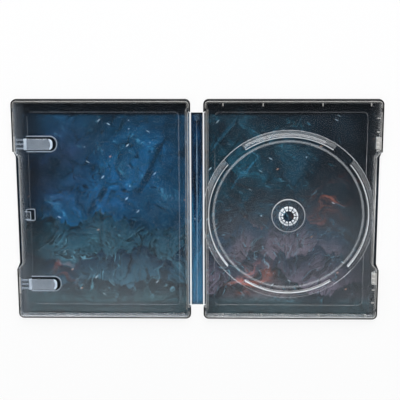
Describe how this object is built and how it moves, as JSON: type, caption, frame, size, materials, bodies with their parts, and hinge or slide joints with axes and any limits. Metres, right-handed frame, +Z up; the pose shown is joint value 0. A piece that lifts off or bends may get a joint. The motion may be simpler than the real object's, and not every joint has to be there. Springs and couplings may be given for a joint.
{
  "type": "game disc case",
  "caption": "Hinged flat case for a game disc: printed metal covers and spine around a clear inlay with booklet clips, a disc well and a toothed hub.",
  "frame": {"origin": "on the surface the open case lies on, under the middle of its spine", "axes": "+X across the open case towards the back cover's opening edge, +Y along the spine towards the top of the case, +Z up out of the open trays"},
  "size_m": [0.2798, 0.172, 0.0074],
  "materials": {
    "printed_metal": "dark blue print under satin lacquer on tinplate",
    "clear_plastic": "clear glossy moulded plastic"
  },
  "bodies": {
    "back": {"back_cover": "printed_metal", "back_tray": "clear_plastic"},
    "spine": {"spine_cover": "printed_metal", "spine_strip": "clear_plastic"},
    "front": {"front_cover": "printed_metal", "front_tray": "clear_plastic"}
  },
  "joints": [
    {"name": "spine_hinge", "type": "hinge", "parent": "back", "child": "spine", "pos_m": [0.0052, 0, 0.0013], "axis": [0, 1, 0], "range_deg": [0, 90]},
    {"name": "front_hinge", "type": "hinge", "parent": "spine", "child": "front", "pos_m": [-0.0052, 0, 0.0013], "axis": [0, 1, 0], "range_deg": [0, 90]}
  ]
}
